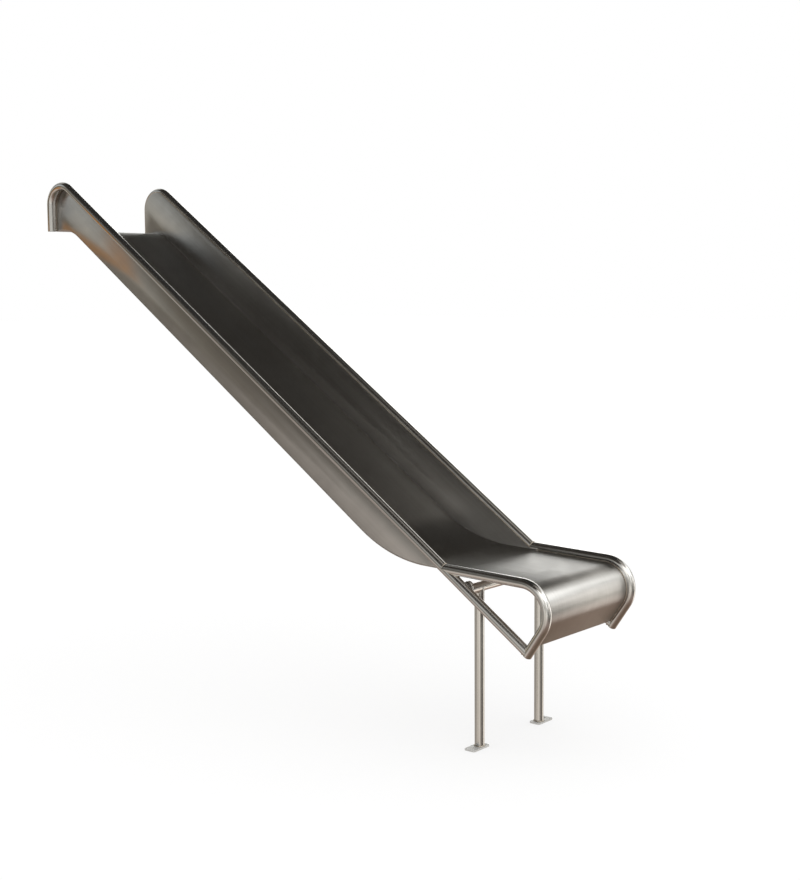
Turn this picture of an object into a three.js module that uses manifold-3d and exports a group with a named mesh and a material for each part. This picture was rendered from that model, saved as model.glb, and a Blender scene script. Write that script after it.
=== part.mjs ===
// Straight steel playground slide: a sheet trough edged with round tube, on a low post frame.
// Millimetres, +Z up, +X downhill. Right and left are as seen going down it, so right is -Y.
// The origin is the middle of the flat underside of the entry deck, which sits on the platform.

import * as THREE from 'three';
import { mergeVertices } from 'three/addons/utils/BufferGeometryUtils.js';
import Module from 'manifold-3d';

const wasm = await Module();
wasm.setup();

const { degToRad } = THREE.MathUtils;
const { sin, cos, tan, PI } = Math;

// Stock and fits
const sheet = 2.5;
const tubeRadius = 33.7 / 2;
const gap = 0.3;
const clearWidth = 485;

// Side view of the rails: upright, top bend, slope, level exit, bend round the nose and return
const railApexHeight = 250;
const slope = degToRad(35);
const exitFall = degToRad(2);
const returnSlope = degToRad(56);
const topBendRadius = 75;
const junctionX = 2037;
const noseStartX = 2354;
const noseBendRadius = 95;
const returnPastBrace = 9;

// Side view of the trough sheet
const sideDepth = 146;
const rolloverRadius = 140;
const lowerBendRadius = 530;
const bedBelowExitTube = 8;
const noseSheetReturn = 86;
const headSeamX = 256;
const footCheekPastJunction = 33;

// Post frame
const postX = 2123;
const postY = 180;
const crossTubeZ = -1241;
const groundFaceZ = -1794;
const lugWidth = 35;
const lugThickness = 10;
const lugAboveTube = 29;
const lugBelowTube = 21;
const footPlateWidth = 44;
const footPlateOutward = 60;
const footPlateInward = 30;
const footPlateThickness = 6;
const footPlateCorner = 8;
const footHoleOutward = 39;
const footHoleRadius = 6;

// Tube end caps
const uprightCapThickness = 2.5;
const returnCapHeight = 4;
const returnCapRim = 2;
const returnCapShoulderRadius = 12.5;
const returnCapShoulderHeight = 3.6;

// Roundness of tubes, bends and holes, and how the copes are cut
const tubeSides = 20;
const topBendSteps = 12;
const noseBendSteps = 14;
const arcSegments = 12;
const plateArcSegments = 6;
const copeReach = 150;
const mergeTolerance = 0.001;

// Where the tubes' centre planes and the run-out sheet's edges lie
const tubeY = clearWidth / 2 + sheet + gap + tubeRadius;
const troughHalfWidth = clearWidth / 2 - gap;
const exitHalfWidth = tubeY - Math.sqrt(tubeRadius ** 2 - bedBelowExitTube ** 2) - gap;

const steel = new THREE.MeshStandardMaterial({ color: 0x8c8882, roughness: 0.34, metalness: 1 });
const tubeSteel = new THREE.MeshStandardMaterial({ color: 0xb3afa8, roughness: 0.26, metalness: 1 });
const supportSteel = new THREE.MeshStandardMaterial({ color: 0xc0bab0, roughness: 0.3, metalness: 1 });
const darkSteel = new THREE.MeshStandardMaterial({ color: 0x6f6a63, roughness: 0.4, metalness: 1 });

// A point of the side view: x runs downhill, y is the height
const at = (x, z) => new THREE.Vector2(x, z);
const along = (point, direction, distance) => point.clone().addScaledVector(direction, distance);
const onCircle = (centre, radius, angle) => along(centre, at(cos(angle), sin(angle)), radius);

// Directions and lines of the rails' centre line
const downSlope = at(cos(slope), -sin(slope));
const upFromSlope = at(sin(slope), cos(slope));
const downExit = at(cos(exitFall), -sin(exitFall));
const upFromExit = at(sin(exitFall), cos(exitFall));
const downReturn = at(-cos(returnSlope), -sin(returnSlope));
const railZ = (x) => railApexHeight - tan(slope) * x;
const exitZ = (x) => railZ(junctionX) - tan(exitFall) * (x - junctionX);

const topBendTurn = PI / 2 + slope;
const uprightTop = railApexHeight - topBendRadius * tan(topBendTurn / 2);
const topBendCentre = at(topBendRadius, uprightTop);
const slopeRailStart = along(topBendCentre, upFromSlope, topBendRadius);
const junction = at(junctionX, railZ(junctionX));
const noseStart = at(noseStartX, exitZ(noseStartX));
const noseCentre = along(noseStart, upFromExit, -noseBendRadius);
const noseFrom = PI / 2 - exitFall;
const noseTo = returnSlope - PI / 2;
const returnStart = onCircle(noseCentre, noseBendRadius, noseTo);
const returnCloses = sin(returnSlope) + tan(slope) * cos(returnSlope);
const returnToBrace = (returnStart.y - railZ(returnStart.x)) / returnCloses;
const braceEnd = along(returnStart, downReturn, returnToBrace);
const returnEnd = along(braceEnd, downReturn, returnPastBrace);

// Underside of the trough sheet: seat, rollover, slope, lower bend and run-out
const slopeMeetsDeckX = (railApexHeight - sideDepth / cos(slope)) / tan(slope);
const seatLength = slopeMeetsDeckX - rolloverRadius * tan(slope / 2);
const rolloverCentre = at(seatLength, -rolloverRadius);
const slopeBedStart = along(rolloverCentre, upFromSlope, rolloverRadius);
const runoutUnderZ = (x) => exitZ(x) - (bedBelowExitTube + sheet) / cos(exitFall);
const slopeUnderZ = (x) => railZ(x) - sideDepth / cos(slope);
const lowerCornerX = (slopeUnderZ(0) - runoutUnderZ(0)) / (tan(slope) - tan(exitFall));
const lowerCorner = at(lowerCornerX, runoutUnderZ(lowerCornerX));
const lowerBendTangent = lowerBendRadius * tan((slope - exitFall) / 2);
const lowerBendStart = along(lowerCorner, downSlope, -lowerBendTangent);
const lowerBendEnd = along(lowerCorner, downExit, lowerBendTangent);
const lowerBendCentre = along(lowerBendStart, upFromSlope, lowerBendRadius);
const footCheekEndX = junctionX + footCheekPastJunction;
const noseSheetOuter = noseBendRadius - bedBelowExitTube;

const slide = new THREE.Group();
slide.position.x = -seatLength / 2;

const sides = [
  { side: 'right', sign: -1 },
  { side: 'left', sign: 1 },
];

function addPiece(name, geometry, material) {
  const mesh = new THREE.Mesh(geometry, material);
  mesh.name = name;
  slide.add(mesh);
  return mesh;
}

// A side-view outline given a width across the slide, centred on the mid plane
function acrossSlide(outline, width) {
  const geometry = new THREE.ExtrudeGeometry(outline, {
    depth: width,
    bevelEnabled: false,
    curveSegments: arcSegments,
  });
  geometry.rotateX(PI / 2);
  geometry.translate(0, width / 2, 0);
  return geometry;
}

// A strip of sheet bent round a centre, between two radii and two angles
function bentStrip(centre, innerRadius, outerRadius, fromAngle, toAngle) {
  const clockwise = toAngle < fromAngle;
  const outline = new THREE.Shape();
  outline.absarc(centre.x, centre.y, outerRadius, fromAngle, toAngle, clockwise);
  outline.absarc(centre.x, centre.y, innerRadius, toAngle, fromAngle, !clockwise);
  return outline;
}

// A straight round tube between two points of the side view
function straightTube(from, to) {
  const run = to.clone().sub(from);
  const geometry = new THREE.CylinderGeometry(tubeRadius, tubeRadius, run.length(), tubeSides);
  geometry.rotateZ(-PI / 2);
  geometry.rotateY(-run.angle());
  geometry.translate((from.x + to.x) / 2, 0, (from.y + to.y) / 2);
  return geometry;
}

// A path of the side view, known at its stations: each has a point and the direction of travel there
class SidePath extends THREE.Curve {
  constructor(stations) {
    super();
    this.stations = stations;
  }

  stationAt(fraction) {
    return this.stations[Math.round(fraction * (this.stations.length - 1))];
  }

  getPointAt(fraction) {
    const { point } = this.stationAt(fraction);
    return new THREE.Vector3(point.x, 0, point.y);
  }

  getTangentAt(fraction) {
    const { heading } = this.stationAt(fraction);
    return new THREE.Vector3(heading.x, 0, heading.y);
  }
}

// Stations round a bend that turns clockwise in the side view
function bendStations(centre, radius, fromAngle, toAngle, steps) {
  const stations = [];
  for (let i = 0; i <= steps; i += 1) {
    const angle = THREE.MathUtils.lerp(fromAngle, toAngle, i / steps);
    stations.push({ point: onCircle(centre, radius, angle), heading: at(sin(angle), -cos(angle)) });
  }
  return stations;
}

// A round tube bent in the side view
function bentTube(stations) {
  const section = new THREE.Shape();
  for (let i = 0; i < tubeSides; i += 1) {
    const corner = onCircle(at(0, 0), tubeRadius, (2 * PI * i) / tubeSides);
    if (i === 0) section.moveTo(corner.x, corner.y);
    else section.lineTo(corner.x, corner.y);
  }
  section.closePath();
  return new THREE.ExtrudeGeometry(section, {
    steps: stations.length - 1,
    bevelEnabled: false,
    extrudePath: new SidePath(stations),
  });
}

function toSolid(geometry) {
  const bare = geometry.clone();
  bare.deleteAttribute('normal');
  bare.deleteAttribute('uv');
  const merged = mergeVertices(bare, mergeTolerance);
  return new wasm.Manifold(new wasm.Mesh({
    numProp: 3,
    vertProperties: new Float32Array(merged.attributes.position.array),
    triVerts: new Uint32Array(merged.index.array),
  }));
}

function toGeometry(solid) {
  const mesh = solid.getMesh();
  const geometry = new THREE.BufferGeometry();
  geometry.setAttribute('position', new THREE.BufferAttribute(mesh.vertProperties, 3));
  geometry.setIndex(new THREE.BufferAttribute(mesh.triVerts, 1));
  geometry.computeVertexNormals();
  return geometry;
}

// A tube end cut to sit round another tube, which it clears by the gap
function coped(tube, other) {
  return toGeometry(toSolid(tube).subtract(toSolid(other)));
}

function widerTube(from, to) {
  const run = to.clone().sub(from);
  const radius = (tubeRadius + gap) / cos(PI / tubeSides);
  const geometry = new THREE.CylinderGeometry(radius, radius, run.length(), tubeSides);
  geometry.rotateZ(-PI / 2);
  geometry.rotateY(-run.angle());
  geometry.translate((from.x + to.x) / 2, 0, (from.y + to.y) / 2);
  return geometry;
}

// Entry deck: the flat sheet that rests on the platform
function entryDeck() {
  const width = 2 * troughHalfWidth;
  const deck = addPiece('entry_deck', new THREE.BoxGeometry(seatLength - gap, width, sheet), steel);
  deck.position.set((seatLength - gap) / 2, 0, sheet / 2);
}

// Rollover: the sheet turning from the deck onto the slope
function rollover() {
  const outer = rolloverRadius + sheet;
  const outline = bentStrip(rolloverCentre, rolloverRadius, outer, PI / 2, PI / 2 - slope);
  addPiece('rollover', acrossSlide(outline, 2 * troughHalfWidth), steel);
}

// Slope bed: the long straight sliding sheet
function slopeBed() {
  const start = along(slopeBedStart, downSlope, gap);
  const length = start.distanceTo(lowerBendStart) - gap;
  const bed = addPiece('slope_bed', new THREE.BoxGeometry(length, 2 * troughHalfWidth, sheet), steel);
  const middle = along(along(start, downSlope, length / 2), upFromSlope, sheet / 2);
  bed.position.set(middle.x, 0, middle.y);
  bed.rotation.y = slope;
}

// Lower bend: the sheet turning from the slope onto the run-out
function lowerBend() {
  const inner = lowerBendRadius - sheet;
  const outline = bentStrip(lowerBendCentre, inner, lowerBendRadius, -PI / 2 - slope, -PI / 2 - exitFall);
  addPiece('lower_bend', acrossSlide(outline, 2 * troughHalfWidth), steel);
}

// Run-out: the nearly level sheet, narrow between the cheeks and wider between the exit tubes
function runoutBed() {
  const start = along(lowerBendEnd, downExit, gap);
  const end = along(noseStart, upFromExit, -bedBelowExitTube - sheet);
  const length = start.distanceTo(end) - gap;
  const step = (footCheekEndX + gap - start.x) / cos(exitFall);
  const outline = new THREE.Shape();
  outline.moveTo(0, -troughHalfWidth);
  outline.lineTo(step, -troughHalfWidth);
  outline.lineTo(step, -exitHalfWidth);
  outline.lineTo(length, -exitHalfWidth);
  outline.lineTo(length, exitHalfWidth);
  outline.lineTo(step, exitHalfWidth);
  outline.lineTo(step, troughHalfWidth);
  outline.lineTo(0, troughHalfWidth);
  outline.closePath();
  const geometry = new THREE.ExtrudeGeometry(outline, { depth: sheet, bevelEnabled: false });
  const bed = addPiece('runout_bed', geometry, steel);
  bed.position.set(start.x, 0, start.y);
  bed.rotation.y = exitFall;
}

// Nose: the sheet rolled over the end of the run-out, down and back under it
function noseSheet() {
  const inner = noseSheetOuter - sheet;
  const outline = new THREE.Shape();
  outline.absarc(noseCentre.x, noseCentre.y, noseSheetOuter, noseFrom, noseTo, true);
  const outerEnd = along(onCircle(noseCentre, noseSheetOuter, noseTo), downReturn, noseSheetReturn);
  const innerEnd = along(onCircle(noseCentre, inner, noseTo), downReturn, noseSheetReturn);
  outline.lineTo(outerEnd.x, outerEnd.y);
  outline.lineTo(innerEnd.x, innerEnd.y);
  outline.absarc(noseCentre.x, noseCentre.y, inner, noseTo, noseFrom, false);
  addPiece('nose_sheet', acrossSlide(outline, 2 * exitHalfWidth), steel);
}

// Cheeks: the side sheets, welded inside the rail tubes up to their centre line
function headCheek() {
  const seamTop = at(headSeamX, railZ(headSeamX));
  const seamFoot = along(seamTop, upFromSlope, -sideDepth);
  const outline = new THREE.Shape();
  outline.moveTo(0, 0);
  outline.lineTo(seatLength, 0);
  outline.absarc(rolloverCentre.x, rolloverCentre.y, rolloverRadius, PI / 2, PI / 2 - slope, true);
  outline.lineTo(seamFoot.x, seamFoot.y);
  outline.lineTo(seamTop.x, seamTop.y);
  outline.absarc(topBendCentre.x, topBendCentre.y, topBendRadius, PI / 2 - slope, PI, false);
  outline.closePath();
  return acrossSlide(outline, sheet);
}

function slopeCheek() {
  const top = along(at(headSeamX, railZ(headSeamX)), downSlope, gap);
  const start = along(top, upFromSlope, -sideDepth);
  const length = start.distanceTo(lowerBendStart) - gap;
  const middle = along(along(start, downSlope, length / 2), upFromSlope, sideDepth / 2);
  const geometry = new THREE.BoxGeometry(length, sheet, sideDepth);
  geometry.rotateY(slope);
  geometry.translate(middle.x, 0, middle.y);
  return geometry;
}

function footCheek() {
  const top = along(lowerBendStart, upFromSlope, sideDepth);
  const outline = new THREE.Shape();
  outline.moveTo(lowerBendStart.x, lowerBendStart.y);
  outline.absarc(
    lowerBendCentre.x, lowerBendCentre.y, lowerBendRadius, -PI / 2 - slope, -PI / 2 - exitFall, false,
  );
  outline.lineTo(footCheekEndX, runoutUnderZ(footCheekEndX));
  outline.lineTo(footCheekEndX, exitZ(footCheekEndX));
  outline.lineTo(junction.x, junction.y);
  outline.lineTo(top.x, top.y);
  outline.closePath();
  return acrossSlide(outline, sheet);
}

// Head bow: the back upright and the top bend, one bent tube
function headBow() {
  const foot = { point: at(0, uprightCapThickness + gap), heading: at(0, 1) };
  return bentTube([foot, ...bendStations(topBendCentre, topBendRadius, PI, PI / 2 - slope, topBendSteps)]);
}

function slopeRail() {
  return straightTube(along(slopeRailStart, downSlope, gap), along(junction, downSlope, -gap));
}

// Brace: the rail's line carried on below the exit, coped to the end of the nose bow
function brace() {
  const tube = straightTube(junction, braceEnd);
  const bow = widerTube(returnStart, along(braceEnd, downReturn, copeReach));
  return coped(tube, bow);
}

// Exit rail: the level tube beside the run-out, coped onto the rail
function exitRail() {
  const tube = straightTube(junction, along(noseStart, downExit, -gap));
  const above = along(junction, downSlope, -copeReach);
  const rail = widerTube(above, along(junction, downSlope, copeReach));
  return coped(tube, rail);
}

// Nose bow: the tube bent round the nose and back down to the brace
function noseBow() {
  const end = { point: returnEnd, heading: downReturn };
  return bentTube([...bendStations(noseCentre, noseBendRadius, noseFrom, noseTo, noseBendSteps), end]);
}

function uprightCap() {
  const geometry = new THREE.CylinderGeometry(tubeRadius, tubeRadius, uprightCapThickness, tubeSides);
  geometry.rotateX(PI / 2);
  geometry.translate(0, 0, uprightCapThickness / 2);
  return geometry;
}

// Return cap: a shallow dome that closes the lower end of the nose bow
function returnCap() {
  const profile = [
    at(0, 0),
    at(tubeRadius, 0),
    at(tubeRadius, returnCapRim),
    at(returnCapShoulderRadius, returnCapShoulderHeight),
    at(0, returnCapHeight),
  ];
  const geometry = new THREE.LatheGeometry(profile, tubeSides);
  geometry.rotateZ(PI / 2 + returnSlope);
  geometry.rotateX(PI / 2);
  const seat = along(returnEnd, downReturn, gap);
  geometry.translate(seat.x, 0, seat.y);
  return geometry;
}

// Cross tube of the post frame, between the lugs on the two braces
function crossTube() {
  const length = clearWidth + 2 * (sheet - lugThickness - gap);
  const geometry = new THREE.CylinderGeometry(tubeRadius, tubeRadius, length, tubeSides);
  addPiece('cross_tube', geometry, supportSteel).position.set(postX, 0, crossTubeZ);
}

// Lug: a round-ended flat on the brace's inner side, which carries the cross tube's end
function lug() {
  const half = lugWidth / 2;
  const outline = new THREE.Shape();
  outline.absarc(postX, crossTubeZ + lugAboveTube - half, half, 0, PI, false);
  outline.lineTo(postX - half, crossTubeZ - lugBelowTube);
  outline.lineTo(postX + half, crossTubeZ - lugBelowTube);
  outline.closePath();
  return acrossSlide(outline, lugThickness);
}

// Post: an upright tube under the cross tube, coped to it
function post() {
  const foot = groundFaceZ + footPlateThickness + gap;
  const height = crossTubeZ - foot;
  const tube = new THREE.CylinderGeometry(tubeRadius, tubeRadius, height, tubeSides);
  tube.rotateX(PI / 2);
  tube.translate(0, 0, foot + height / 2);
  const radius = (tubeRadius + gap) / cos(PI / tubeSides);
  const cross = new THREE.CylinderGeometry(radius, radius, 2 * copeReach, tubeSides);
  cross.translate(0, 0, crossTubeZ);
  return coped(tube, cross);
}

// Foot plate: a flat plate reaching outward from the post, with one anchor hole
function footPlate(sign) {
  const halfWidth = footPlateWidth / 2;
  const near = sign * footPlateOutward;
  const far = -sign * footPlateInward;
  const low = Math.min(near, far);
  const high = Math.max(near, far);
  const c = footPlateCorner;
  const outline = new THREE.Shape();
  outline.absarc(halfWidth - c, low + c, c, -PI / 2, 0, false);
  outline.absarc(halfWidth - c, high - c, c, 0, PI / 2, false);
  outline.absarc(c - halfWidth, high - c, c, PI / 2, PI, false);
  outline.absarc(c - halfWidth, low + c, c, PI, 1.5 * PI, false);
  outline.closePath();
  const hole = new THREE.Path();
  hole.absarc(0, sign * footHoleOutward, footHoleRadius, 0, 2 * PI, true);
  outline.holes.push(hole);
  return new THREE.ExtrudeGeometry(outline, {
    depth: footPlateThickness,
    bevelEnabled: false,
    curveSegments: plateArcSegments,
  });
}

entryDeck();
rollover();
slopeBed();
lowerBend();
runoutBed();
noseSheet();
crossTube();

const cheekY = clearWidth / 2 + sheet / 2;
const lugY = clearWidth / 2 + sheet - lugThickness / 2;

for (const { side, sign } of sides) {
  const pieces = [
    ['head_cheek', headCheek(), steel, sign * cheekY],
    ['slope_cheek', slopeCheek(), steel, sign * cheekY],
    ['foot_cheek', footCheek(), steel, sign * cheekY],
    ['head_bow', headBow(), tubeSteel, sign * tubeY],
    ['slope_rail', slopeRail(), tubeSteel, sign * tubeY],
    ['brace', brace(), tubeSteel, sign * tubeY],
    ['exit_rail', exitRail(), tubeSteel, sign * tubeY],
    ['nose_bow', noseBow(), tubeSteel, sign * tubeY],
    ['upright_cap', uprightCap(), darkSteel, sign * tubeY],
    ['return_cap', returnCap(), darkSteel, sign * tubeY],
    ['lug', lug(), supportSteel, sign * lugY],
  ];
  for (const [name, geometry, material, y] of pieces) {
    addPiece(`${side}_${name}`, geometry, material).position.y = y;
  }
  addPiece(`${side}_post`, post(), supportSteel).position.set(postX, sign * postY, 0);
  const plate = addPiece(`${side}_foot_plate`, footPlate(sign), supportSteel);
  plate.position.set(postX, sign * postY, groundFaceZ);
}

export default slide;
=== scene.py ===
from math import atan2, cos, hypot, pi, radians, sin, tan

import bpy
from mathutils import Matrix, Vector


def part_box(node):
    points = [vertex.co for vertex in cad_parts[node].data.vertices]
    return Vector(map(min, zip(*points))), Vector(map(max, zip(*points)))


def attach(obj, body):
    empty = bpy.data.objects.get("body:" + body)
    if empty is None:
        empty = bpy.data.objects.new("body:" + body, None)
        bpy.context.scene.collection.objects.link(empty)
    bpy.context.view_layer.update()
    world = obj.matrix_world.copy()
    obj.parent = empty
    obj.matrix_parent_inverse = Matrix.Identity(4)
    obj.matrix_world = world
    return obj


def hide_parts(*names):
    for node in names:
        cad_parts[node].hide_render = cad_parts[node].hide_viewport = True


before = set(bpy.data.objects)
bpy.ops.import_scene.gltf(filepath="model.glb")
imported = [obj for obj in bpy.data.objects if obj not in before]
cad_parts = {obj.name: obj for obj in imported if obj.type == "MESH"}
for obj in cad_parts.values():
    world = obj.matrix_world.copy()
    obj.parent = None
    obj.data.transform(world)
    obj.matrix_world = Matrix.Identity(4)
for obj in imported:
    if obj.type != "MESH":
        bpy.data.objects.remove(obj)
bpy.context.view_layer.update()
bpy.ops.object.select_all(action="DESELECT")


# Rails. Each is one round stainless tube: it stands on the platform, bends over the head of the
# slide, runs down the slope as its rail and carries on below the run-out as its brace. It was
# drawn, cut and bent cold, and ground along its length with a fine belt.

upright_low, upright_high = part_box("right_upright_cap")
tube_radius = (upright_high.y - upright_low.y) / 2
upright_x = (upright_low.x + upright_high.x) / 2
rail_y = -(upright_low.y + upright_high.y) / 2

# Runs are level, from the upright. The apex is where upright and slope would cross if not bent.
slope = radians(35)
rail_apex_z = 0.250
top_bend_radius = 0.075
upright_height = rail_apex_z - top_bend_radius * tan((pi / 2 + slope) / 2)
exit_fall = radians(2)
return_slope = radians(56)
nose_bend_radius = 0.095
junction_run = 2.037
nose_run = 2.354
level_run = nose_run - junction_run
tube_corners = 56
top_bend_steps = 28
nose_bend_steps = 32


def rail_z(x):
    """The height of the sloping rail's middle line."""
    return rail_apex_z - tan(slope) * (x - upright_x)


slope_rail_top_x = upright_x + top_bend_radius * (1 + sin(slope))
junction = Vector((upright_x + junction_run, 0, rail_z(upright_x + junction_run)))
nose_start = junction + Vector((level_run, 0, -tan(exit_fall) * level_run))
down_return = Vector((-cos(return_slope), 0, -sin(return_slope)))


class Bender:
    """Feeds what is selected in edit mode along the side view: straight runs and turns."""

    def __init__(self, place, heading):
        self.place = Vector((place[0], 0, place[1]))
        self.heading = heading
        self.fed = 0.0
        self.legs = []

    def feed(self, length, draw=True):
        """Goes straight on."""
        step = Vector((cos(self.heading), 0, sin(self.heading))) * length
        if draw:
            bpy.ops.mesh.extrude_region_move(TRANSFORM_OT_translate={"value": step})
        self.legs.append((self.fed, length, self.place.copy(), self.heading, None, 0))
        self.place += step
        self.fed += length

    def turn(self, radius, angle, steps, draw=True):
        """Goes round a bend, upwards where the angle is above nought."""
        up = 1 if angle > 0 else -1
        centre = self.place + Vector((-sin(self.heading), 0, cos(self.heading))) * radius * up
        if draw:
            bpy.ops.mesh.spin(steps=steps, angle=angle, center=centre, axis=(0, 1, 0))
        self.legs.append((self.fed, radius * abs(angle), centre, self.heading, radius, up))
        self.heading += angle
        self.place = centre - Vector((-sin(self.heading), 0, cos(self.heading))) * radius * up
        self.fed += radius * abs(angle)

    def locate(self, x, z):
        """How far along the route a point lies, and how far to its side."""
        best = None
        for start, length, place, heading, radius, up in self.legs:
            dx = x - place.x
            dz = z - place.z
            if radius is None:
                along = dx * cos(heading) + dz * sin(heading)
                aside = dz * cos(heading) - dx * sin(heading)
            else:
                swept = (atan2(dz, dx) - heading + up * pi / 2) * up
                swept = (swept + pi) % (2 * pi) - pi
                along = swept * radius
                aside = up * (radius - hypot(dx, dz))
            over = max(0, -along, along - length)
            if best is None or over + abs(aside) < best[0]:
                best = (over + abs(aside), start + along, aside)
        return best[1], best[2]


same_point_within = 0.00001
smooth_below = radians(35)


def finish_mesh(name):
    """Merges doubles, turns faces outwards, smooths the curved ones and puts the piece in place."""
    bpy.ops.object.mode_set(mode="EDIT")
    bpy.ops.mesh.select_all(action="SELECT")
    bpy.ops.mesh.remove_doubles(threshold=same_point_within)
    bpy.ops.mesh.normals_make_consistent(inside=False)
    bpy.ops.object.mode_set(mode="OBJECT")
    bpy.ops.object.transform_apply(location=True, rotation=True, scale=True)
    bpy.ops.object.shade_smooth_by_angle(angle=smooth_below)
    piece = bpy.context.object
    piece.name = name
    piece.select_set(False)
    return piece


def cap_open_ends():
    """Fills every open end of the tube being edited with a face."""
    bpy.ops.mesh.select_all(action="DESELECT")
    bpy.ops.mesh.select_mode(type="EDGE")
    bpy.ops.mesh.select_non_manifold()
    bpy.ops.mesh.fill()
    bpy.ops.mesh.select_mode(type="VERT")


def add_layout(piece, lay, wrap=0.0):
    """Writes the piece's own map, in metres: along its length, and across it or round its wall."""
    layer = piece.data.uv_layers.new(name="lie")
    for face in piece.data.polygons:
        middle = lay(face.center)[1]
        for index in face.loop_indices:
            corner = piece.data.vertices[piece.data.loops[index].vertex_index]
            along, across = lay(corner.co)
            if wrap and across - middle > wrap / 2:
                across -= wrap
            if wrap and middle - across > wrap / 2:
                across += wrap
            layer.data[index].uv = (along, across)


def value_node(tree, kind, **settings):
    """A new node, with its sockets and settings filled in by name."""
    node = tree.nodes.new(kind)
    for name, value in settings.items():
        if name in node.inputs:
            node.inputs[name].default_value = value
        else:
            setattr(node, name, value)
    return node


def new_group(name, inputs, outputs):
    """A node group with its named inputs, their usual values and its outputs."""
    group = bpy.data.node_groups.new(name, "ShaderNodeTree")
    add = group.interface.new_socket
    for socket, usual in inputs:
        add(socket, in_out="INPUT", socket_type="NodeSocketFloat").default_value = usual
    for socket in outputs:
        add(socket, in_out="OUTPUT", socket_type="NodeSocketFloat")
    return group, group.nodes.new("NodeGroupInput"), group.nodes.new("NodeGroupOutput")


usual_lines = 900.0
usual_line_length = 0.06
line_noise = {"Scale": 1.0, "Detail": 4.0, "Roughness": 0.6}
streak_noise = {"Scale": 0.11, "Detail": 2.0, "Roughness": 0.6}


def make_grain_group():
    """Fine ground lines that run along a piece's own map, and the wider streaks between them."""
    inputs = (("Lines per metre", usual_lines), ("Line length", usual_line_length))
    group, given, result = new_group("Ground lines", inputs, ("Lines", "Streaks"))
    link = group.links.new
    lie = value_node(group, "ShaderNodeUVMap", uv_map="lie")
    apart = group.nodes.new("ShaderNodeSeparateXYZ")
    shorten = value_node(group, "ShaderNodeMath", operation="DIVIDE")
    tighten = value_node(group, "ShaderNodeMath", operation="MULTIPLY")
    together = group.nodes.new("ShaderNodeCombineXYZ")
    link(lie.outputs["UV"], apart.inputs[0])
    link(apart.outputs["X"], shorten.inputs[0])
    link(given.outputs["Line length"], shorten.inputs[1])
    link(apart.outputs["Y"], tighten.inputs[0])
    link(given.outputs["Lines per metre"], tighten.inputs[1])
    link(shorten.outputs[0], together.inputs["X"])
    link(tighten.outputs[0], together.inputs["Y"])
    for output, look in (("Lines", line_noise), ("Streaks", streak_noise)):
        noise = value_node(group, "ShaderNodeTexNoise", **look)
        link(together.outputs[0], noise.inputs["Vector"])
        link(noise.outputs["Fac"], result.inputs[output])
    return group


cloud_size = 0.3
smear_size = 0.05
cloud_noise = {"Detail": 3.0, "Roughness": 0.6, "Distortion": 0.4}
smear_noise = {"Detail": 2.0, "Roughness": 0.6, "Distortion": 0.4}


def make_marks_group():
    """Slow clouds of tone over a large piece, and the smears that use and weather leave."""
    inputs = (("Cloud size", cloud_size), ("Smear size", smear_size))
    group, given, result = new_group("Handling marks", inputs, ("Clouds", "Smears"))
    link = group.links.new
    where = group.nodes.new("ShaderNodeTexCoord")
    for size, output, look in (
        ("Cloud size", "Clouds", cloud_noise),
        ("Smear size", "Smears", smear_noise),
    ):
        scale = value_node(group, "ShaderNodeMath", operation="DIVIDE")
        scale.inputs[0].default_value = 1.0
        noise = value_node(group, "ShaderNodeTexNoise", **look)
        link(given.outputs[size], scale.inputs[1])
        link(where.outputs["Object"], noise.inputs["Vector"])
        link(scale.outputs[0], noise.inputs["Scale"])
        link(noise.outputs["Fac"], result.inputs[output])
    return group


ground_lines = make_grain_group()
handling_marks = make_marks_group()
streak_weight = 0.6
dark_at = 0.55
light_at = 1.05
smears_from = 0.3
smears_to = 0.7
least_rough = 0.92
most_rough = 1.08
line_depth = 0.0002
turned_across = 0.25


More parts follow.
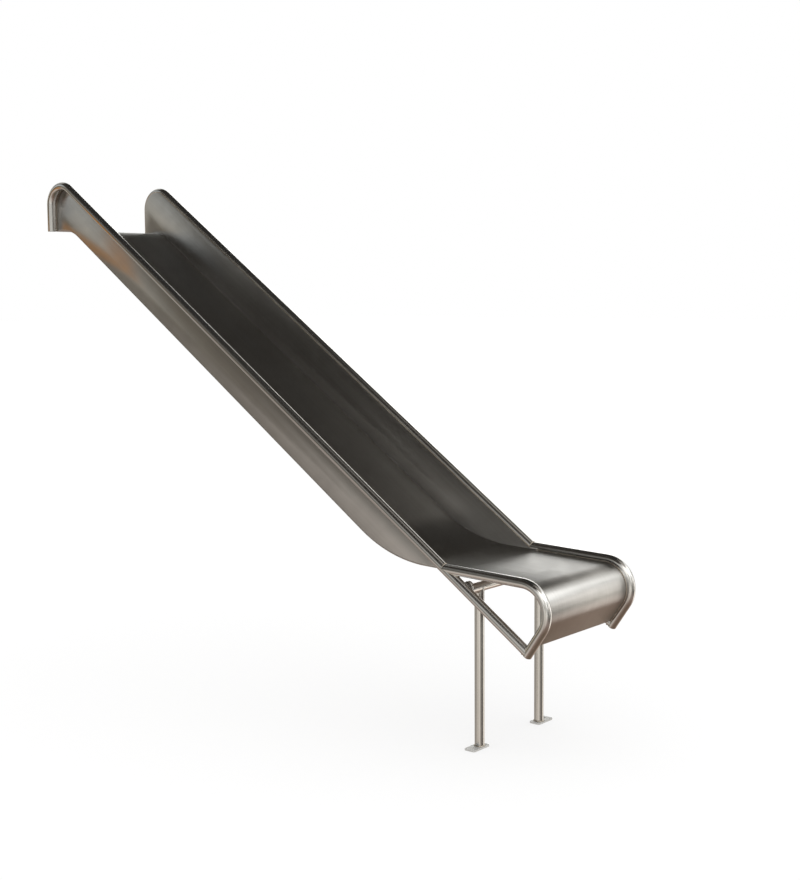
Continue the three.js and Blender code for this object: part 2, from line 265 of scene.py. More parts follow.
def make_steel(
    name,
    light,
    dark,
    roughness,
    anisotropy,
    lines=usual_lines,
    line_length=usual_line_length,
    bump=0.12,
    metallic=1.0,
):
    """Stainless steel with ground lines along the piece, clouds of tone and faint smears."""
    steel = bpy.data.materials.new(name)
    steel.use_nodes = True
    tree = steel.node_tree
    tree.nodes.clear()
    link = tree.links.new
    output = tree.nodes.new("ShaderNodeOutputMaterial")
    shader = value_node(tree, "ShaderNodeBsdfPrincipled", Metallic=metallic, Anisotropic=anisotropy)
    shader.inputs["Anisotropic Rotation"].default_value = turned_across
    grain = value_node(tree, "ShaderNodeGroup", node_tree=ground_lines)
    grain.inputs["Lines per metre"].default_value = lines
    grain.inputs["Line length"].default_value = line_length
    marks = value_node(tree, "ShaderNodeGroup", node_tree=handling_marks)
    tone = value_node(tree, "ShaderNodeMix", data_type="RGBA")
    tone.inputs["A"].default_value = (*dark, 1)
    tone.inputs["B"].default_value = (*light, 1)
    clouded = value_node(tree, "ShaderNodeMath", operation="MULTIPLY_ADD")
    clouded.inputs[1].default_value = streak_weight
    spread = value_node(tree, "ShaderNodeMapRange")
    spread.inputs["From Min"].default_value = dark_at
    spread.inputs["From Max"].default_value = light_at
    dull = value_node(tree, "ShaderNodeMapRange")
    dull.inputs["From Min"].default_value = smears_from
    dull.inputs["From Max"].default_value = smears_to
    dull.inputs["To Min"].default_value = roughness * least_rough
    dull.inputs["To Max"].default_value = roughness * most_rough
    relief = value_node(tree, "ShaderNodeBump", Strength=bump, Distance=line_depth)
    lengthways = value_node(tree, "ShaderNodeTangent", direction_type="UV_MAP", uv_map="lie")
    link(grain.outputs["Streaks"], clouded.inputs[0])
    link(marks.outputs["Clouds"], clouded.inputs[2])
    link(clouded.outputs[0], spread.inputs["Value"])
    link(spread.outputs["Result"], tone.inputs["Factor"])
    link(tone.outputs["Result"], shader.inputs["Base Color"])
    link(marks.outputs["Smears"], dull.inputs["Value"])
    link(dull.outputs["Result"], shader.inputs["Roughness"])
    link(grain.outputs["Lines"], relief.inputs["Height"])
    link(relief.outputs["Normal"], shader.inputs["Normal"])
    link(lengthways.outputs["Tangent"], shader.inputs["Tangent"])
    link(shader.outputs["BSDF"], output.inputs["Surface"])
    return steel


sides = (("right", -1), ("left", 1))
tube_steel = make_steel(
    "Rail tube steel",
    light=(0.67, 0.665, 0.66),
    dark=(0.58, 0.575, 0.565),
    roughness=0.17,
    anisotropy=0.3,
)


def lay_round(route, centre_y):
    """A bent tube's map: the way along its route, and the way round its wall."""

    def lay(point):
        along, aside = route.locate(point.x, point.z)
        return along, atan2(point.y - centre_y, aside) * tube_radius

    return lay


def start_ring(place, heading, radius, corners=tube_corners):
    """An open ring of wall points, square to the way that the tube leaves."""
    bpy.ops.mesh.primitive_circle_add(
        vertices=corners, radius=radius, location=place, rotation=(0, pi / 2 - heading, 0)
    )
    bpy.ops.object.mode_set(mode="EDIT")
    bpy.ops.mesh.select_all(action="SELECT")


nose_turn = return_slope + exit_fall - pi


def exit_route(draw=True):
    """The exit tube's way from the rail to the start of its return."""
    route = Bender((junction.x, junction.z), -exit_fall)
    route.feed((nose_start - junction).length, draw)
    route.turn(nose_bend_radius, nose_turn, nose_bend_steps, draw)
    return route


return_start = exit_route(draw=False).place
return_closes = sin(return_slope) + tan(slope) * cos(return_slope)
return_to_brace = (return_start.z - rail_z(return_start.x)) / return_closes
brace_end = return_start + down_return * return_to_brace
tube_wrap = 2 * pi * tube_radius

for side, sign in sides:
    rail_middle = sign * rail_y
    start_ring((upright_x, rail_middle, upright_low.z), pi / 2, tube_radius)
    route = Bender((upright_x, upright_low.z), pi / 2)
    route.feed(upright_height - upright_low.z)
    route.turn(top_bend_radius, -pi / 2 - slope, top_bend_steps)
    route.feed((brace_end - route.place).length)
    cap_open_ends()
    rail = finish_mesh(f"{side}_rail_and_brace")
    add_layout(rail, lay_round(route, rail_middle), tube_wrap)
    rail.data.materials.append(tube_steel)
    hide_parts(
        f"{side}_head_bow", f"{side}_slope_rail", f"{side}_brace", f"{side}_upright_cap"
    )
    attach(rail, "root")


# Exit bows. One stainless tube each side leaves the rail nearly level, runs beside the run-out,
# bends round the nose and comes back down to the brace, where it is welded on. Its cut end is
# closed.

# The end narrows over the closing length, and what is left is capped.
return_past_brace = 0.013
closing_length = 0.003
closing_share = 0.82

for side, sign in sides:
    rail_middle = sign * rail_y
    start_ring((junction.x, rail_middle, junction.z), -exit_fall, tube_radius)
    route = exit_route()
    route.feed(return_to_brace + return_past_brace - closing_length)
    route.feed(closing_length)
    end_middle = route.place + Vector((0, rail_middle, 0))
    bpy.ops.transform.resize(value=(closing_share,) * 3, center_override=end_middle)
    cap_open_ends()
    bow = finish_mesh(f"{side}_exit_bow")
    add_layout(bow, lay_round(route, rail_middle), tube_wrap)
    bow.data.materials.append(tube_steel)
    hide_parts(f"{side}_exit_rail", f"{side}_nose_bow", f"{side}_return_cap")
    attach(bow, "root")


# Bed. One stainless sheet, folded up along both sides to meet the cheeks. It lies flat on the
# platform, rolls over onto the slope and bends level again at the foot. It is ground lengthways.

deck_low, deck_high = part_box("entry_deck")
sheet = deck_high.z - deck_low.z
half_bed = -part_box("right_slope_cheek")[1].y
fold = 0.004
seat_length = -2 * upright_x
rollover_radius = 0.140
lower_bend_radius = 0.530
# Square to the slope, from the rail's middle line to the sheet's underside.
side_depth = 0.146
bed_below_exit_tube = 0.008
foot_past_junction = 0.033
past_joint = 0.002
sheet_edge = 0.0005
fold_steps = 5
rollover_steps = 14
lower_bend_steps = 28

slope_under_z = rail_apex_z - side_depth / cos(slope)
runout_under_z = junction.z - (bed_below_exit_tube + sheet) / cos(exit_fall)
fall_apart = tan(slope) - tan(exit_fall)
level_apart = slope_under_z + tan(slope) * upright_x - runout_under_z - tan(exit_fall) * junction.x
corner_x = level_apart / fall_apart
head_corner_x = upright_x + slope_under_z / tan(slope)
lower_tangent = lower_bend_radius * tan((slope - exit_fall) / 2)
upper_tangent = rollover_radius * tan(slope / 2)
slope_length = (corner_x - head_corner_x) / cos(slope) - upper_tangent - lower_tangent
foot_length = (junction.x + foot_past_junction - corner_x) / cos(exit_fall) - lower_tangent


def follow_bed(rise):
    """Draws the way down the whole bed, at a height above the sheet's underside."""
    route = Bender((upright_x, rise), 0)
    route.feed(seat_length)
    route.turn(rollover_radius + rise, -slope, rollover_steps)
    route.feed(slope_length)
    route.turn(lower_bend_radius - rise, slope - exit_fall, lower_bend_steps)
    route.feed(foot_length)
    return route


start_size = 0.01


def start_point(place):
    """A single point to draw from: a small plane, merged at its middle."""
    bpy.ops.mesh.primitive_plane_add(size=start_size, location=place)
    bpy.ops.object.mode_set(mode="EDIT")
    bpy.ops.mesh.select_all(action="SELECT")
    bpy.ops.mesh.merge(type="CENTER")


sharp_from = radians(50)


def break_edges(piece, width, segments):
    """Rounds the piece's sharp edges a little."""
    bpy.context.view_layer.objects.active = piece
    piece.select_set(True)
    bpy.ops.object.modifier_add(type="BEVEL")
    broken = piece.modifiers[-1]
    broken.width = width
    broken.segments = segments
    broken.limit_method = "ANGLE"
    broken.angle_limit = sharp_from
    bpy.ops.object.modifier_apply(modifier=broken.name)
    bpy.ops.object.shade_smooth_by_angle(angle=smooth_below)
    piece.select_set(False)


def thicken(piece):
    """Gives a sheet its wall, away from where its faces look, and breaks its sharp edges."""
    bpy.context.view_layer.objects.active = piece
    piece.select_set(True)
    bpy.ops.object.modifier_add(type="SOLIDIFY")
    wall = piece.modifiers[-1]
    wall.thickness = sheet
    wall.offset = -1
    bpy.ops.object.modifier_apply(modifier=wall.name)
    break_edges(piece, sheet_edge, segments=2)


def face_towards(piece, direction):
    """Turns an open sheet's faces so that they look to the given side."""
    total = sum((face.normal * face.area for face in piece.data.polygons), Vector())
    if total.dot(direction) < 0:
        piece.data.flip_normals()


def trim_square(piece, place, **cleared):
    """Cuts a sheet's end square where it is butted to the next sheet, so that they lie flush."""
    bpy.context.view_layer.objects.active = piece
    piece.select_set(True)
    bpy.ops.object.mode_set(mode="EDIT")
    bpy.ops.mesh.select_all(action="SELECT")
    bpy.ops.mesh.bisect(plane_co=place, plane_no=(1, 0, 0), use_fill=True, **cleared)
    bpy.ops.object.mode_set(mode="OBJECT")
    bpy.ops.object.shade_smooth_by_angle(angle=smooth_below)
    piece.select_set(False)


sheet_look = {
    "light": (0.60, 0.595, 0.585),
    "dark": (0.53, 0.52, 0.51),
    "roughness": 0.30,
    "anisotropy": 1.0,
}
bed_steel = make_steel("Bed sheet steel", **sheet_look)

fold_y = half_bed - fold
start_point((upright_x, -half_bed, sheet + fold))
for side, sign in sides:
    bpy.ops.mesh.spin(
        steps=fold_steps,
        angle=-pi / 2,
        center=(upright_x, sign * fold_y, sheet + fold),
        axis=(1, 0, 0),
    )
    if side == "right":
        bpy.ops.mesh.extrude_region_move(TRANSFORM_OT_translate={"value": (0, 2 * fold_y, 0)})
bpy.ops.mesh.select_all(action="SELECT")
bed_route = follow_bed(sheet)
sheet_joint = bed_route.place.copy()
bed_route.feed(past_joint)
bed = finish_mesh("bed_with_folds")
face_towards(bed, Vector((0, 0, 1)))
thicken(bed)
trim_square(bed, sheet_joint, clear_outer=True)
add_layout(bed, lambda point: (bed_route.locate(point.x, point.z)[0], point.y))
bed.data.materials.append(bed_steel)
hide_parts("entry_deck", "rollover", "slope_bed", "lower_bend")
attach(bed, "root")


# Run-out and nose. A second stainless sheet carries on level between the exit tubes, rolls over
# the nose with them and comes back underneath. Its edges are welded to the tubes all the way.

half_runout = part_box("nose_sheet")[1].y
nose_sheet_return = 0.086
up_and_out = Vector((0.5, 0, 1))

down_exit = Vector((cos(exit_fall), 0, -sin(exit_fall)))
runout_start = sheet_joint - down_exit * past_joint
start_point((runout_start.x, -half_runout, runout_start.z))
bpy.ops.mesh.extrude_region_move(TRANSFORM_OT_translate={"value": (0, 2 * half_runout, 0)})
bpy.ops.mesh.select_all(action="SELECT")
runout_route = Bender((runout_start.x, runout_start.z), -exit_fall)
to_nose = (nose_start.x - runout_start.x) / cos(exit_fall)
runout_route.feed(to_nose - bed_below_exit_tube * sin(exit_fall))
runout_route.turn(nose_bend_radius - bed_below_exit_tube, nose_turn, nose_bend_steps)
runout_route.feed(nose_sheet_return)
runout = finish_mesh("runout_and_nose_sheet")
face_towards(runout, up_and_out)
thicken(runout)
trim_square(runout, sheet_joint, clear_inner=True)
bed_length = bed_route.fed - 2 * past_joint
add_layout(runout, lambda point: (bed_length + runout_route.locate(point.x, point.z)[0], point.y))
runout.data.materials.append(bed_steel)
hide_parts("runout_bed", "nose_sheet")
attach(runout, "root")


# Cheeks. The two sides are cut flat from the bed's kind of sheet and ground along the slope. They
# rise from the folds to the rails, and are welded on all the way from the platform to the foot.

cheek_steel = make_steel("Cheek sheet steel", **sheet_look)
along_slope = Bender((upright_x, rail_apex_z), -slope)
along_slope.feed(slope_length, draw=False)


def draw_rail_line(route):
    """From the foot, back up the middle line of the rail and down the upright."""
    route.heading = pi - exit_fall
    route.feed(foot_past_junction / cos(exit_fall))
    route.heading = pi - slope
    route.feed((route.place.x - slope_rail_top_x) / cos(slope))
    route.turn(top_bend_radius, pi / 2 + slope, top_bend_steps)


for side, sign in sides:
    start_point((upright_x, sign * half_bed, sheet + fold))
    route = follow_bed(sheet + fold)
    route.heading = pi / 2 - exit_fall
    route.feed(bed_below_exit_tube - fold)
    draw_rail_line(route)
    bpy.ops.mesh.select_all(action="SELECT")
    bpy.ops.mesh.edge_face_add()
    cheek = finish_mesh(f"{side}_cheek")
    face_towards(cheek, Vector((0, -sign, 0)))
    thicken(cheek)
    add_layout(cheek, lambda point: along_slope.locate(point.x, point.z))
    cheek.data.materials.append(cheek_steel)
    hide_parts(f"{side}_head_cheek", f"{side}_slope_cheek", f"{side}_foot_cheek")
    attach(cheek, "root")


# Post frame. It is welded up of the same stainless tube as the rails: a cross tube hangs between
# two round-ended lugs on the braces, and two posts stand under it.

frame_steel = make_steel(
    "Post frame steel",
    light=(0.67, 0.66, 0.645),
    dark=(0.58, 0.57, 0.55),
    roughness=0.20,
    anisotropy=0.3,
)
cross_low, cross_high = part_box("cross_tube")
cross_middle = (cross_low + cross_high) / 2


def lay_crossways(point):
    """The cross tube's map: the way along it, and the way round its wall."""
    return point.y, atan2(point.x - cross_middle.x, point.z - cross_middle.z) * tube_radius


cross_length = cross_high.y - cross_low.y
bpy.ops.mesh.primitive_circle_add(
    vertices=tube_corners,
    radius=tube_radius,
    location=(cross_middle.x, cross_low.y, cross_middle.z),
    rotation=(pi / 2, 0, 0),
)
bpy.ops.object.mode_set(mode="EDIT")
bpy.ops.mesh.select_all(action="SELECT")
bpy.ops.mesh.edge_face_add()
bpy.ops.mesh.extrude_region_move(TRANSFORM_OT_translate={"value": (0, cross_length, 0)})
cross = finish_mesh("frame_cross_tube")
add_layout(cross, lay_crossways, tube_wrap)
cross.data.materials.append(frame_steel)
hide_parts("cross_tube")
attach(cross, "root")


def lay_upright(centre):
    """A post's map: the way up it, and the way round its wall."""
    return lambda point: (point.z, atan2(point.y - centre.y, point.x - centre.x) * tube_radius)


for side, sign in sides:
    post_low, post_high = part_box(f"{side}_post")
    middle = (post_low + post_high) / 2
    start_ring((middle.x, middle.y, post_low.z), pi / 2, tube_radius)
    bpy.ops.mesh.edge_face_add()
    Bender((middle.x, post_low.z), pi / 2).feed(cross_middle.z - post_low.z)
    post = finish_mesh(f"{side}_frame_post")
    add_layout(post, lay_upright(middle), tube_wrap)
    post.data.materials.append(frame_steel)
    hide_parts(f"{side}_post")
    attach(post, "root")


lug_edge = 0.0015
lug_top_steps = 20
lug_low, lug_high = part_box("right_lug")
lug_half = (lug_high.x - lug_low.x) / 2
lug_thickness = lug_high.y - lug_low.y

for side, sign in sides:
    low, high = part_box(f"{side}_lug")
    start_point((low.x, low.y, low.z))
    lug_straight = high.z - low.z - lug_half
    route = Bender((low.x, low.z), pi / 2)
    route.feed(lug_straight)
    route.turn(lug_half, -pi, lug_top_steps)
    route.feed(lug_straight)
    bpy.ops.mesh.select_all(action="SELECT")
    bpy.ops.mesh.edge_face_add()
    bpy.ops.mesh.extrude_region_move(TRANSFORM_OT_translate={"value": (0, lug_thickness, 0)})
    lug = finish_mesh(f"{side}_brace_lug")
    break_edges(lug, lug_edge, segments=3)
    add_layout(lug, lambda point: (point.z, point.x))
    lug.data.materials.append(frame_steel)
    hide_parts(f"{side}_lug")
    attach(lug, "root")


# Foot plates. Flat steel plates cut from dull strip, with round corners and worn edges, welded
# under the posts. Each reaches outwards under its post and has one anchor hole there.

plate_steel = make_steel(
    "Foot plate steel",
    light=(0.60, 0.60, 0.59),
    dark=(0.50, 0.50, 0.49),
    roughness=0.55,
    anisotropy=0.0,
    metallic=0.4,
)
plate_corner = 0.008
plate_corner_steps = 6
plate_edge = 0.0008
hole_radius = 0.006
hole_corners = 32
hole_outward = 0.039

for side, sign in sides:
    low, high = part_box(f"{side}_foot_plate")
    post_low, post_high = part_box(f"{side}_post")
    post_y = (post_low.y + post_high.y) / 2
    middle = (low + high) / 2
    middle.z = low.z
    bpy.ops.mesh.primitive_plane_add(size=1, location=middle)
    bpy.ops.object.mode_set(mode="EDIT")
    bpy.ops.mesh.select_all(action="SELECT")
    spread = (high.x - low.x, high.y - low.y, 1)
    bpy.ops.transform.resize(value=spread, center_override=middle)
    bpy.ops.object.mode_set(mode="OBJECT")
    bpy.ops.object.transform_apply(location=True, rotation=True, scale=True)
    bpy.ops.object.mode_set(mode="EDIT")
    bpy.ops.mesh.select_all(action="SELECT")
    bpy.ops.mesh.bevel(offset=plate_corner, segments=plate_corner_steps, affect="VERTICES")
    bpy.ops.mesh.select_all(action="SELECT")
    bpy.ops.mesh.delete(type="ONLY_FACE")
    bpy.ops.mesh.primitive_circle_add(
        vertices=hole_corners,
        radius=hole_radius,
        location=(middle.x, post_y + sign * hole_outward, low.z),
    )
    bpy.ops.mesh.select_all(action="SELECT")
    bpy.ops.mesh.fill()
    bpy.ops.mesh.extrude_region_move(TRANSFORM_OT_translate={"value": (0, 0, high.z - low.z)})
    plate = finish_mesh(f"{side}_anchor_plate")
    break_edges(plate, plate_edge, segments=2)
    add_layout(plate, lambda point: (point.y, point.x + point.z))
    plate.data.materials.append(plate_steel)
    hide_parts(f"{side}_foot_plate")
    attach(plate, "root")


# Welds. Thin hand-laid beads, brushed afterwards: on each cheek's top edge and in the groove under
# the rail outside it, along the run-out's edges, and round every place where one tube meets another
# or a plate.

weld_steel = make_steel(
    "Weld steel",
    light=(0.62, 0.57, 0.50),
    dark=(0.30, 0.25, 0.20),
    roughness=0.36,
    anisotropy=0.0,
    lines=420.0,
    line_length=0.0016,
    bump=0.9,
)

# A bead is given by its own radius, and lies aside of the rail's middle line by so much.
top_bead = 0.0026
top_seam_y = 0.2444
top_seam_aside = 0.0012
groove_bead = 0.0019
groove_seam_y = 0.2464
groove_seam_aside = -0.0090
runout_bead = 0.0019
runout_seam_y = 0.2468
runout_seam_aside = -0.0060
seam_foot_z = 0.001
seam_corners = 8
round_bead = 0.0024
round_bead_steps = 96
round_bead_corners = 10
above_plate = 0.0005
bead_smooth_below = radians(50)


def finish_weld(bead):
    """Settles a bead where it lies and gives it its map."""
    bpy.ops.object.transform_apply(location=True, rotation=True, scale=True)
    bead.data.uv_layers[0].name = "lie"
    bpy.ops.object.shade_smooth_by_angle(angle=bead_smooth_below)
    bead.select_set(False)
    return bead


def half_saddle(place, away, along):
    """Half of the bead round a tube that leaves another, between the two and flush outside."""
    between = (away + along).normalized()
    across = away.cross(along).normalized()
    bpy.ops.mesh.primitive_torus_add(
        major_segments=round_bead_steps,
        minor_segments=round_bead_corners,
        major_radius=tube_radius,
        minor_radius=round_bead,
    )
    bpy.ops.object.mode_set(mode="EDIT")
    bpy.ops.mesh.select_all(action="SELECT")
    bpy.ops.mesh.bisect(plane_co=(0, 0, 0), plane_no=(1, 0, 0), clear_inner=True, use_fill=True)
    bpy.ops.mesh.select_all(action="SELECT")
    flush = tube_radius / (tube_radius + round_bead)
    slanted = 1 / sin(away.angle(between))
    bpy.ops.transform.resize(value=(slanted, flush, 1), center_override=(0, 0, 0))
    bpy.ops.object.mode_set(mode="OBJECT")
    half = bpy.context.object
    turned = Matrix((between, across, between.cross(across))).transposed().to_4x4()
    half.matrix_world = Matrix.Translation(place) @ turned
    return finish_weld(half)


def ring_bead(place):
    """The bead round a post where it stands on its plate."""
    bpy.ops.mesh.primitive_torus_add(
        major_segments=round_bead_steps,
        minor_segments=round_bead_corners,
        major_radius=tube_radius,
        minor_radius=round_bead,
        location=place,
    )
    return finish_weld(bpy.context.object)


def seam_bead(route, start, y, bead, legs):
    """A bead along a seam of the side view, given as straight lengths and turns."""
    start_ring((start[0], y, start[1]), route.heading, bead, corners=seam_corners)
    for leg in legs:
        if isinstance(leg, tuple):
            route.turn(*leg)
        else:
            route.feed(leg)
    cap_open_ends()
    seam = finish_mesh("seam")
    add_layout(seam, lambda point: (route.locate(point.x, point.z)[0], point.y))
    return seam


slope_rail_run = (junction.x - slope_rail_top_x) / cos(slope)
runout_seam_run = (level_run - foot_past_junction) / cos(exit_fall)
down_rail = Vector((cos(slope), 0, -sin(slope)))
down = Vector((0, 0, -1))

for side, sign in sides:
    beads = []
    for aside, seam_y, bead in (
        (top_seam_aside, top_seam_y, top_bead),
        (groove_seam_aside, groove_seam_y, groove_bead),
    ):
        start = (upright_x - aside, seam_foot_z)
        over_head = (top_bend_radius + aside, -pi / 2 - slope, top_bend_steps)
        legs = (upright_height - seam_foot_z, over_head, slope_rail_run)
        beads.append(seam_bead(Bender(start, pi / 2), start, sign * seam_y, bead, legs))
    start = (
        junction.x + foot_past_junction + runout_seam_aside * sin(exit_fall),
        junction.z - foot_past_junction * tan(exit_fall) + runout_seam_aside * cos(exit_fall),
    )
    round_nose = (nose_bend_radius + runout_seam_aside, nose_turn, nose_bend_steps)
    legs = (runout_seam_run, round_nose, nose_sheet_return)
    route = Bender(start, -exit_fall)
    beads.append(seam_bead(route, start, sign * runout_seam_y, runout_bead, legs))

    rail_middle = Vector((0, sign * rail_y, 0))
    for place, away, along in (
        (junction + rail_middle, down_exit, down_rail),
        (brace_end + rail_middle, -down_rail, down_return),
    ):
        beads.append(half_saddle(place, away, along))
        beads.append(half_saddle(place, away, -along))

    post_low, post_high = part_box(f"{side}_post")
    post_top = Vector((cross_middle.x, (post_low.y + post_high.y) / 2, cross_middle.z))
    for outward in (-1, 1):
        beads.append(half_saddle(post_top, down, Vector((0, outward, 0))))
    beads.append(ring_bead((post_top.x, post_top.y, post_low.z + above_plate)))

    for bead in beads:
        bead.select_set(True)
    bpy.context.view_layer.objects.active = beads[0]
    bpy.ops.object.join()
    welds = bpy.context.object
    welds.name = f"{side}_weld_beads"
    welds.data.materials.append(weld_steel)
    welds.select_set(False)
    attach(welds, "root")


# Room. A plain pale floor lies just under the foot plates, in even white light. What the steel
# mirrors is a painted room that only mirrored rays see: a tone for each height, soft lights and
# pale screens added to it, and dark gaps taken away. Its tones were first given by a least-squares
# fit to the tones on the steel in the photograph, and rounded. Many are still close to the fit's,
# and the others were changed or added one by one.

floor_size = 120
floor_drop = 0.001
floor_tone = 0.30
floor_roughness = 0.9
floor_glow = 0.72
ground_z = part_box("right_foot_plate")[0].z
bpy.ops.mesh.primitive_plane_add(size=floor_size, location=(0, 0, ground_z - floor_drop))
floor = bpy.context.object
floor.name = "floor"
floor.visible_glossy = False
floor_paint = bpy.data.materials.new("Pale floor")
floor_paint.use_nodes = True
paint = floor_paint.node_tree.nodes["Principled BSDF"]
paint.inputs["Base Color"].default_value = (floor_tone, floor_tone, floor_tone, 1)
paint.inputs["Roughness"].default_value = floor_roughness
paint.inputs["Specular IOR Level"].default_value = 0.0
paint.inputs["Emission Color"].default_value = (1, 1, 1, 1)
paint.inputs["Emission Strength"].default_value = floor_glow
floor.data.materials.append(floor_paint)

# The sine of the angle above the level, and the room's tone there.
room_by_height = (
    (-1.0, (0.12, 0.12, 0.09)),
    (-0.85, (0.20, 0.14, 0.10)),
    (-0.64, (0.30, 0.22, 0.18)),
    (-0.42, (0.42, 0.36, 0.32)),
    (-0.20, (0.42, 0.40, 0.36)),
    (0.0, (0.08, 0.08, 0.07)),
    (0.20, (0.20, 0.19, 0.17)),
    (0.40, (0.17, 0.17, 0.16)),
    (0.58, (0.05, 0.04, 0.03)),
    (1.0, (0.03, 0.03, 0.03)),
)
# What it is, its bearing and its height above the level in degrees, how far it reaches, its tone.
room_lights = (
    ("bright foot of the wall", 125, 8, 20, (3.15, 3.15, 3.06)),
    ("wall by the screens", 111, 26, 15, (0.32, 0.31, 0.29)),
    ("wall over it", 142, 22, 20, (0.60, 0.62, 0.60)),
    ("warm ground behind", 91, -35, 32, (0.16, 0.12, 0.09)),
    ("ground on the near side", -132, -38, 28, (0.34, 0.33, 0.30)),
    ("low light on the near side", -100, -17, 22, (0.24, 0.21, 0.18)),
    ("ground before the nose", -62, -15, 26, (0.42, 0.39, 0.35)),
    ("near low screen", -50, 4, 26, (0.55, 0.54, 0.51)),
    ("low screen on the near side", -93, 6, 26, (0.62, 0.61, 0.58)),
    ("ground past the nose", 64, -19, 22, (1.12, 1.05, 0.95)),
    ("timber of the platform", -170, 4, 20, (0.45, 0.38, 0.28)),
    ("near end of the platform", -146, 4, 16, (0.13, 0.11, 0.08)),
    ("light past the platform", -150, 22, 20, (0.44, 0.48, 0.50)),
    ("sky over the platform", 170, 40, 20, (0.62, 0.61, 0.58)),
    ("front low screen", 10, 4, 20, (0.75, 0.70, 0.64)),
    ("second front low screen", -22, 7, 18, (0.36, 0.35, 0.33)),
    ("far low screen", 57, 5, 19, (2.12, 2.04, 1.92)),
    ("bright far screen", 64, 21, 14, (0.66, 0.66, 0.63)),
    ("near middle screen", -75, 22, 20, (1.35, 1.32, 1.25)),
    ("front middle screen", -25, 22, 20, (1.20, 1.18, 1.12)),
    ("second front middle screen", 25, 22, 20, (1.20, 1.21, 1.18)),
    ("far middle screen", 85, 25, 20, (0.88, 0.86, 0.80)),
    ("dim end of the far screens", 105, 22, 20, (0.70, 0.68, 0.64)),
    ("near high screen", -50, 40, 20, (2.30, 2.28, 2.20)),
    ("front high screen", -10, 40, 20, (2.20, 2.20, 2.18)),
    ("second front high screen", 30, 40, 20, (2.10, 2.12, 2.08)),
    ("far high screen", 60, 40, 20, (1.30, 1.32, 1.30)),
    ("warm ceiling", 0, 62, 28, (0.52, 0.48, 0.42)),
)
room_gaps = (
    ("gap before the posts", -2, -15, 20, (0.24, 0.22, 0.20)),
    ("gap beside it", 26, -16, 18, (0.26, 0.24, 0.21)),
    ("dim wall before the platform", -138, -3, 16, (0.09, 0.11, 0.12)),
)

world = bpy.data.worlds.new("Studio")
bpy.context.scene.world = world
world.cycles.sampling_method = "NONE"
world.use_nodes = True
sky = world.node_tree
sky.nodes.clear()
way = sky.nodes.new("ShaderNodeTexCoord")
level = sky.nodes.new("ShaderNodeSeparateXYZ")
height = value_node(sky, "ShaderNodeMapRange")
height.inputs["From Min"].default_value = -1.0
ramp = sky.nodes.new("ShaderNodeValToRGB")
bands = ramp.color_ramp.elements
for index, (sine, tone) in enumerate(room_by_height):
    if index >= len(bands):
        bands.new(1.0)
    bands[index].position = (sine + 1) / 2
    bands[index].color = (*tone, 1)
sky.links.new(way.outputs["Generated"], level.inputs[0])
sky.links.new(level.outputs["Z"], height.inputs["Value"])
sky.links.new(height.outputs["Result"], ramp.inputs["Fac"])
tone_so_far = ramp.outputs["Color"]
for blend, spots in (("ADD", room_lights), ("SUBTRACT", room_gaps)):
    for name, bearing, above, reach, tone in spots:
        middle = Vector((
            cos(radians(above)) * cos(radians(bearing)),
            cos(radians(above)) * sin(radians(bearing)),
            sin(radians(above)),
        ))
        near = value_node(sky, "ShaderNodeVectorMath", operation="DOT_PRODUCT", label=name)
        near.inputs[1].default_value = middle
        fade = value_node(sky, "ShaderNodeMapRange", interpolation_type="SMOOTHSTEP")
        fade.inputs["From Min"].default_value = cos(radians(reach))
        lay_over = value_node(sky, "ShaderNodeMix", data_type="RGBA", blend_type=blend)
        lay_over.inputs["B"].default_value = (*tone, 1)
        sky.links.new(way.outputs["Generated"], near.inputs[0])
        sky.links.new(near.outputs["Value"], fade.inputs["Value"])
        sky.links.new(fade.outputs["Result"], lay_over.inputs["Factor"])
        sky.links.new(tone_so_far, lay_over.inputs["A"])
        tone_so_far = lay_over.outputs["Result"]
rays = sky.nodes.new("ShaderNodeLightPath")
mirrored = value_node(sky, "ShaderNodeBackground", Strength=1.0)
seen = value_node(sky, "ShaderNodeBackground", Strength=1.0)
seen.inputs["Color"].default_value = (1, 1, 1, 1)
choose = sky.nodes.new("ShaderNodeMixShader")
shown = sky.nodes.new("ShaderNodeOutputWorld")
sky.links.new(tone_so_far, mirrored.inputs["Color"])
sky.links.new(rays.outputs["Is Glossy Ray"], choose.inputs["Fac"])
sky.links.new(seen.outputs[0], choose.inputs[1])
sky.links.new(mirrored.outputs[0], choose.inputs[2])
sky.links.new(choose.outputs[0], shown.inputs["Surface"])


# Backdrop. A tall brown board stands off the platform on the near side and leans over. Only the
# steel mirrors it, and its outline is soft: it makes the brown patch low on the near cheek.

board_place = Vector((-0.375, -0.620, -0.070))
board_faces = Vector((0.77, 0.63, -0.03))
board_lean = radians(48)
board_width = 0.32
board_height = 0.62
board_tone = (0.50, 0.20, 0.02)
soft_from = 1.0
solid_from = 0.25

bpy.ops.mesh.primitive_plane_add(size=1)
bpy.ops.object.mode_set(mode="EDIT")
bpy.ops.mesh.select_all(action="SELECT")
bpy.ops.transform.resize(value=(board_width, board_height, 1), center_override=(0, 0, 0))
bpy.ops.object.mode_set(mode="OBJECT")
board = bpy.context.object
board.name = "brown_backdrop"
faced = board_faces.to_track_quat("Z", "Y").to_matrix().to_4x4()
lean = Matrix.Rotation(board_lean, 4, "Z")
board.matrix_world = Matrix.Translation(board_place) @ faced @ lean
board.visible_camera = False
board.visible_diffuse = False
board.visible_shadow = False
timber = bpy.data.materials.new("Brown timber")
timber.use_nodes = True
tree = timber.node_tree
tree.nodes.clear()
where = tree.nodes.new("ShaderNodeTexCoord")
halves = value_node(tree, "ShaderNodeVectorMath", operation="DIVIDE")
halves.inputs[1].default_value = (board_width / 2, board_height / 2, 1)
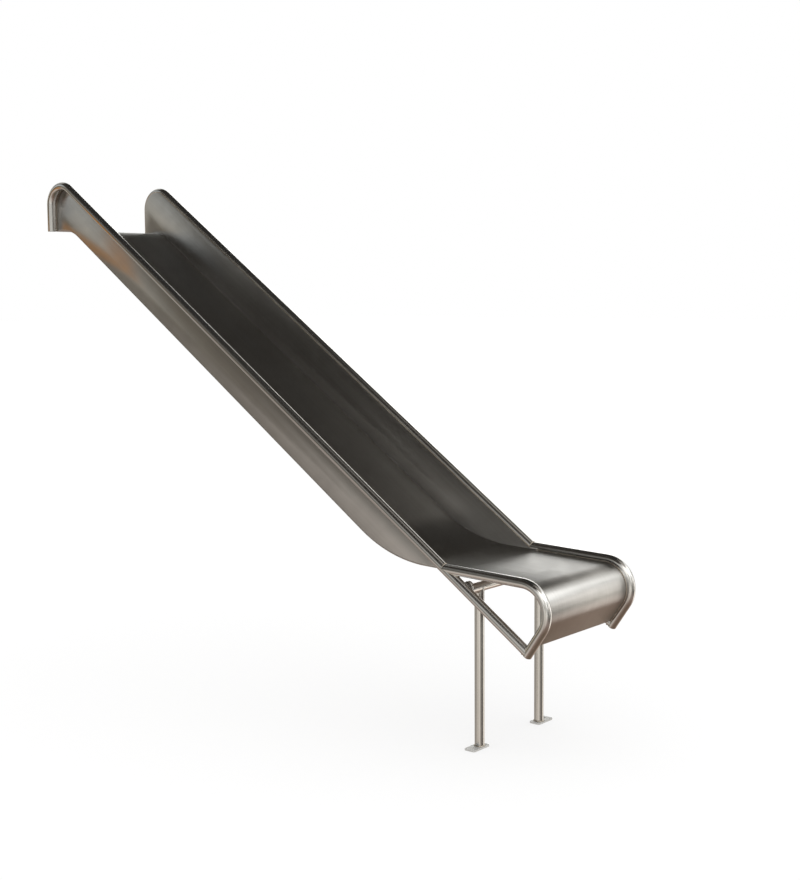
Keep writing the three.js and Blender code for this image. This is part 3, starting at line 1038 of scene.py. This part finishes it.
from_middle = value_node(tree, "ShaderNodeVectorMath", operation="LENGTH")
outline = value_node(tree, "ShaderNodeMapRange", interpolation_type="SMOOTHSTEP")
outline.inputs["From Min"].default_value = soft_from
outline.inputs["From Max"].default_value = solid_from
glow = value_node(tree, "ShaderNodeEmission", Color=(*board_tone, 1))
clear = tree.nodes.new("ShaderNodeBsdfTransparent")
either = tree.nodes.new("ShaderNodeMixShader")
shown = tree.nodes.new("ShaderNodeOutputMaterial")
tree.links.new(where.outputs["Object"], halves.inputs[0])
tree.links.new(halves.outputs["Vector"], from_middle.inputs[0])
tree.links.new(from_middle.outputs["Value"], outline.inputs["Value"])
tree.links.new(outline.outputs["Result"], either.inputs["Fac"])
tree.links.new(clear.outputs[0], either.inputs[1])
tree.links.new(glow.outputs[0], either.inputs[2])
tree.links.new(either.outputs[0], shown.inputs["Surface"])
board.data.materials.append(timber)
board.select_set(False)


# Camera. It stands past the foot on the near side, about as high as the platform, and looks back
# up the slide, as the photograph was taken. Its place, angles and focal length come from a fit to
# the slide's outlines there.

photo_width = 800
focal_in_pixels = 1445.58
yaw = radians(39.18)
pitch = radians(5.94)
roll = radians(-0.40)
camera_past_upright = 4.93205
camera_y = -4.04265
camera_z = -0.24907
far_clip = 200
camera_place = Vector((camera_past_upright + upright_x, camera_y, camera_z))
forward = Vector((-sin(yaw) * cos(pitch), cos(yaw) * cos(pitch), -sin(pitch)))
level_right = Vector((cos(yaw), sin(yaw), 0))
level_up = level_right.cross(forward)
right = level_right * cos(roll) + level_up * sin(roll)
up = level_up * cos(roll) - level_right * sin(roll)
bpy.ops.object.camera_add(location=camera_place)
camera = bpy.context.object
camera.name = "photo_camera"
turned = Matrix((right, up, -forward)).transposed().to_4x4()
camera.matrix_world = Matrix.Translation(camera_place) @ turned
camera.data.sensor_fit = "HORIZONTAL"
camera.data.sensor_width = 36
camera.data.lens = focal_in_pixels / photo_width * camera.data.sensor_width
camera.data.clip_end = far_clip
bpy.context.scene.camera = camera
bpy.context.scene.view_settings.view_transform = "Standard"
